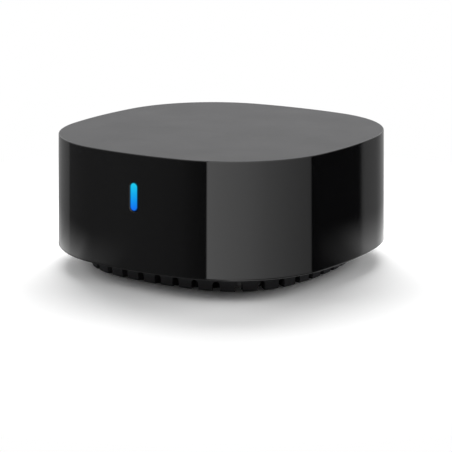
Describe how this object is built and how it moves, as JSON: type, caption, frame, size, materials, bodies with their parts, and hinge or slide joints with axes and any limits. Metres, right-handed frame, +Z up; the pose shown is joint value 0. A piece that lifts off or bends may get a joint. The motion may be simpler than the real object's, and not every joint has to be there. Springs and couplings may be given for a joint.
{
  "type": "infrared remote hub",
  "caption": "Low black squircle hub with a glossy wall, matte top, lit status window, notched base ring, rear power socket and reset button; sends infrared codes all round.",
  "frame": {"origin": "middle of the footprint, on the surface that the rubber feet stand on", "axes": "+Z up through the matte top, -Y out of the front with the status window, +Y out of the rear with the power socket"},
  "size_m": [0.07, 0.07, 0.0305],
  "materials": {
    "gloss_shell": "high gloss black, matte texture on the top",
    "case_plastic": "fine matte texture",
    "ring_plastic": "matte, fine grain",
    "foot_rubber": "soft matte",
    "plate_film": "bare satin film",
    "window_lens": "diffusing lens, lit cyan to blue",
    "white_plastic": "white reflector plastic",
    "board_laminate": "green solder mask",
    "module_laminate": "blue solder mask",
    "tin_plate": "tinned sheet",
    "emitter_resin": "tinted clear resin",
    "diode_resin": "phosphor resin",
    "chip_resin": "moulded epoxy",
    "ceramic": "fired ceramic with tinned ends",
    "can_aluminium": "satin can",
    "ferrite": "pressed ferrite",
    "screw_steel": "zinc plated"
  },
  "bodies": {
    "housing": {"upper_housing": "gloss_shell", "lower_case": "case_plastic", "base_ring": "ring_plastic", "foot_front_left": "foot_rubber", "foot_front_right": "foot_rubber", "foot_rear_left": "foot_rubber", "foot_rear_right": "foot_rubber", "rating_plate": "plate_film", "status_window": "window_lens", "light_box": "white_plastic", "indicator_board": "board_laminate", "status_led_upper": "diode_resin", "status_led_lower": "diode_resin", "main_board": "board_laminate", "radio_module": "module_laminate", "shield_can": "tin_plate", "ir_led_1": "emitter_resin", "ir_led_2": "emitter_resin", "ir_led_3": "emitter_resin", "ir_led_4": "emitter_resin", "ir_led_5": "emitter_resin", "ir_led_6": "emitter_resin", "ir_led_7": "emitter_resin", "ir_led_top": "emitter_resin", "ir_receiver": "chip_resin", "usb_shell": "tin_plate", "usb_tongue": "chip_resin", "reset_switch": "tin_plate", "bulk_capacitor": "can_aluminium", "power_inductor": "ferrite", "regulator_chip": "chip_resin", "driver_transistors": "chip_resin", "chip_resistors": "chip_resin", "chip_capacitors": "ceramic", "case_screws": "screw_steel", "board_screws": "screw_steel", "ring_screws": "screw_steel"},
    "button": {"reset_button": "gloss_shell", "switch_plunger": "chip_resin"}
  },
  "joints": [
    {"name": "reset_press", "type": "slide", "parent": "housing", "child": "button", "axis": [0, -1, 0], "range_m": [0, 0.0004], "stiffness_N_per_m": 2500}
  ]
}
